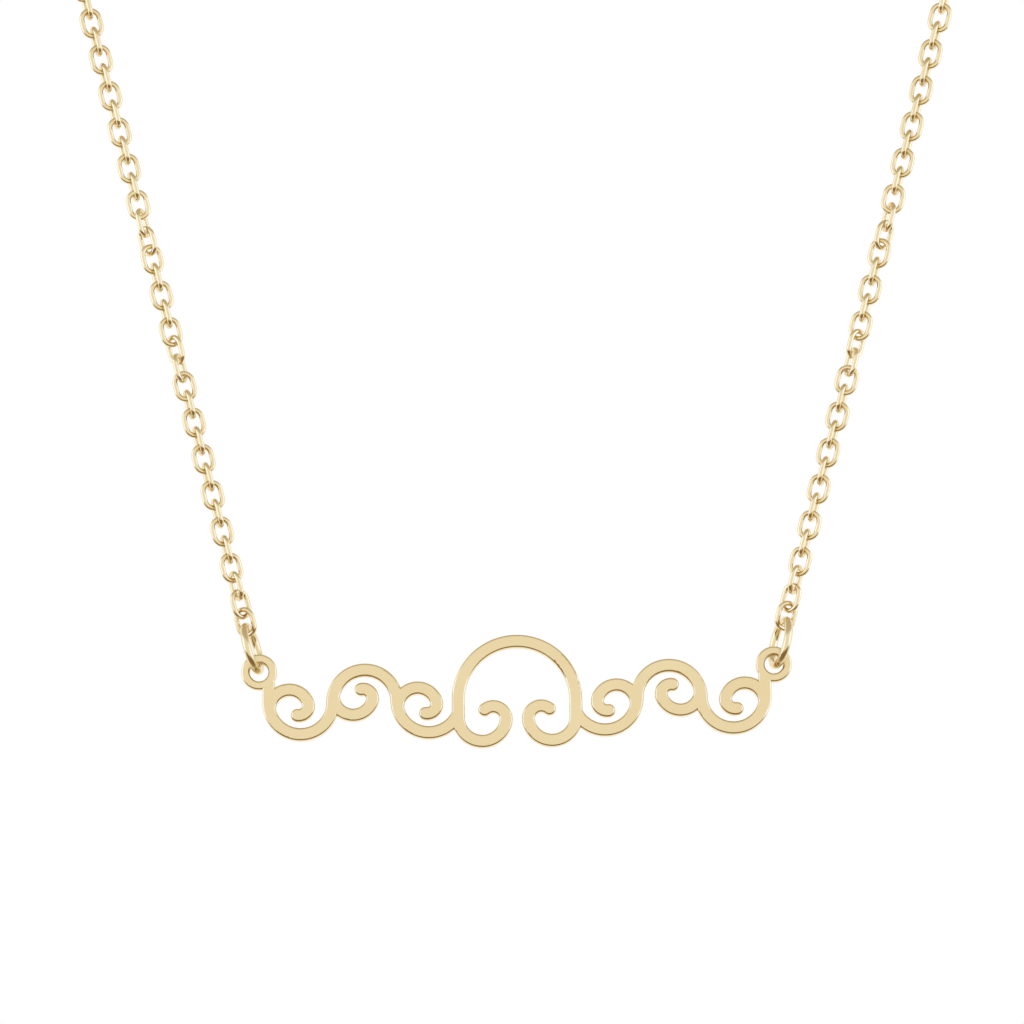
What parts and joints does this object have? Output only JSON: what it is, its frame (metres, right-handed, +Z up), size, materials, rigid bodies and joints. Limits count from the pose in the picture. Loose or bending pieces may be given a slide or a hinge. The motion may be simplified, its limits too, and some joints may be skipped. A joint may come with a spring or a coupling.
{
  "type": "nameplate necklace",
  "caption": "Fine necklace with an openwork scroll nameplate hung on jump rings from an oval cable chain.",
  "frame": {"origin": "where the clasp's inner side rests on the nape, at the middle of its length", "axes": "+Z up as worn, -Y towards the front where the plate hangs, +X to the right as seen from the front"},
  "size_m": [0.0863, 0.0893, 0.0933],
  "materials": {
    "gold": "polished gold plate"
  },
  "bodies": {
    "chain": {"chain_left": "gold", "chain_right": "gold", "clasp": "gold"},
    "pendant": {"nameplate": "gold", "jump_ring_left": "gold", "jump_ring_right": "gold"}
  },
  "joints": [
    {"name": "nameplate_swing", "type": "hinge", "parent": "chain", "child": "pendant", "pos_m": [-0.00005, -0.084, -0.08264], "axis": [0.9999, 0, 0.0119], "range_deg": [-15, 35]}
  ]
}
